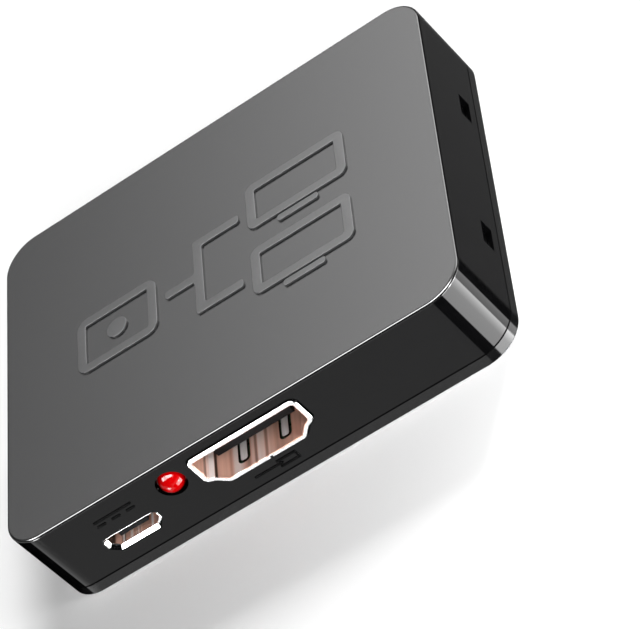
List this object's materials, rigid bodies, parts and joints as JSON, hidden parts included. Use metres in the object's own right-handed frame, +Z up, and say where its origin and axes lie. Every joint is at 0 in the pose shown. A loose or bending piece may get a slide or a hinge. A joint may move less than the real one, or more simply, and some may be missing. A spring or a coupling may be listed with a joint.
{
  "type": "video splitter",
  "caption": "Low black box with rounded corners that sends one video input to several outputs, with a power socket, a red status light and snapped covers.",
  "frame": {"origin": "middle of the underside", "axes": "+X to the right across the input side, -Y out of the input side, +Z up"},
  "size_m": [0.0636, 0.0533, 0.0118],
  "materials": {
    "black_plastic": "glossy black moulding with a satin top",
    "board": "green solder mask",
    "socket_metal": "bright nickel plate",
    "insulator": "black moulded plastic",
    "contact": "gold plate",
    "lens": "tinted clear red",
    "lead": "tinned",
    "chip": "moulded black epoxy",
    "can": "drawn metal",
    "chip_ceramic": "fired ceramic"
  },
  "bodies": {
    "root": {"top_cover": "black_plastic", "bottom_cover": "black_plastic", "circuit_board": "board", "input_shell": "socket_metal", "input_insulator": "insulator", "input_contacts": "contact", "output_1_shell": "socket_metal", "output_1_insulator": "insulator", "output_1_contacts": "contact", "output_2_shell": "socket_metal", "output_2_insulator": "insulator", "output_2_contacts": "contact", "power_shell": "socket_metal", "power_insulator": "insulator", "power_contacts": "contact", "light_lens": "lens", "light_leads": "lead", "splitter_chip_body": "chip", "splitter_chip_leads": "lead", "memory_chip_body": "chip", "memory_chip_leads": "lead", "regulator_body": "chip", "regulator_leads": "lead", "crystal_can": "can", "crystal_base": "insulator", "crystal_leads": "lead", "capacitor_cans": "can", "capacitor_bases": "insulator", "capacitor_leads": "lead", "chip_capacitor_bodies": "chip_ceramic", "chip_capacitor_ends": "lead", "chip_resistor_bodies": "chip", "chip_resistor_ends": "lead", "protection_bodies": "chip", "protection_leads": "lead", "diode_body": "chip", "diode_leads": "lead"}
  },
  "joints": []
}
